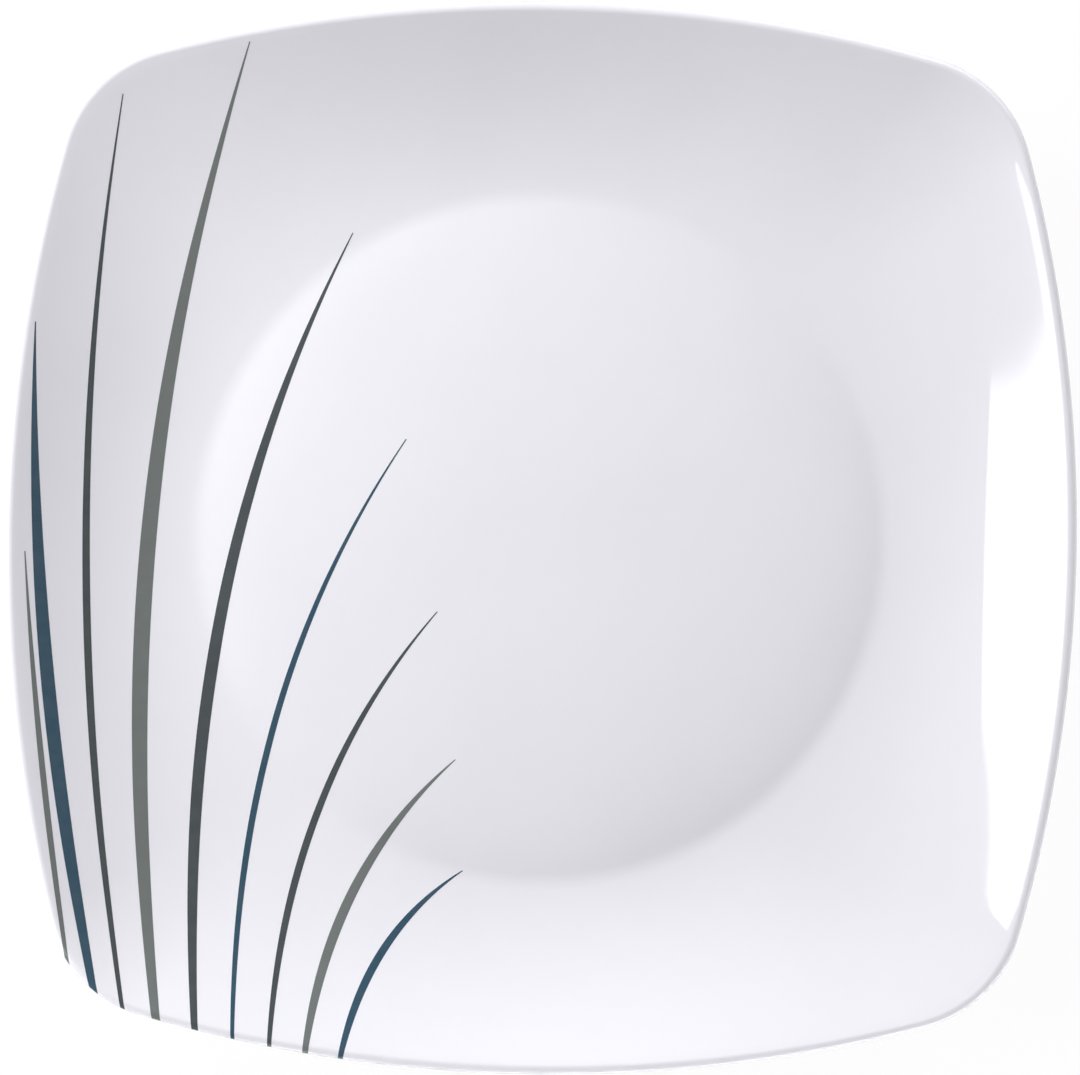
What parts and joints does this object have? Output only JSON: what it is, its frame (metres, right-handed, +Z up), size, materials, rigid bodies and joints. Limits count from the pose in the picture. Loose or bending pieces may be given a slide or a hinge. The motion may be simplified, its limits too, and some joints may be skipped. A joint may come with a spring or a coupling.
{
  "type": "plate",
  "caption": "Square white melamine dinner plate with bowed sides, rounded corners, a round well and a spray of printed reed blades along one side.",
  "frame": {"origin": "on the table, under the middle of the plate", "axes": "+Z up out of the well, +X to the right and +Y away from the user, so the print is on the left"},
  "size_m": [0.26, 0.26, 0.022],
  "materials": {
    "white_melamine": "white pressed melamine, smooth",
    "charcoal_ink": "charcoal print under the glaze",
    "grey_ink": "mid-grey print under the glaze",
    "teal_ink": "dark teal print under the glaze",
    "clear_glaze": "clear high-gloss melamine glaze"
  },
  "bodies": {
    "root": {"plate_body": "white_melamine", "reed_blade_1": "grey_ink", "reed_blade_2": "teal_ink", "reed_blade_3": "charcoal_ink", "reed_blade_4": "grey_ink", "reed_blade_5": "charcoal_ink", "reed_blade_6": "teal_ink", "reed_blade_7": "charcoal_ink", "reed_blade_8": "grey_ink", "reed_blade_9": "teal_ink", "glaze_coat": "clear_glaze"}
  },
  "joints": []
}
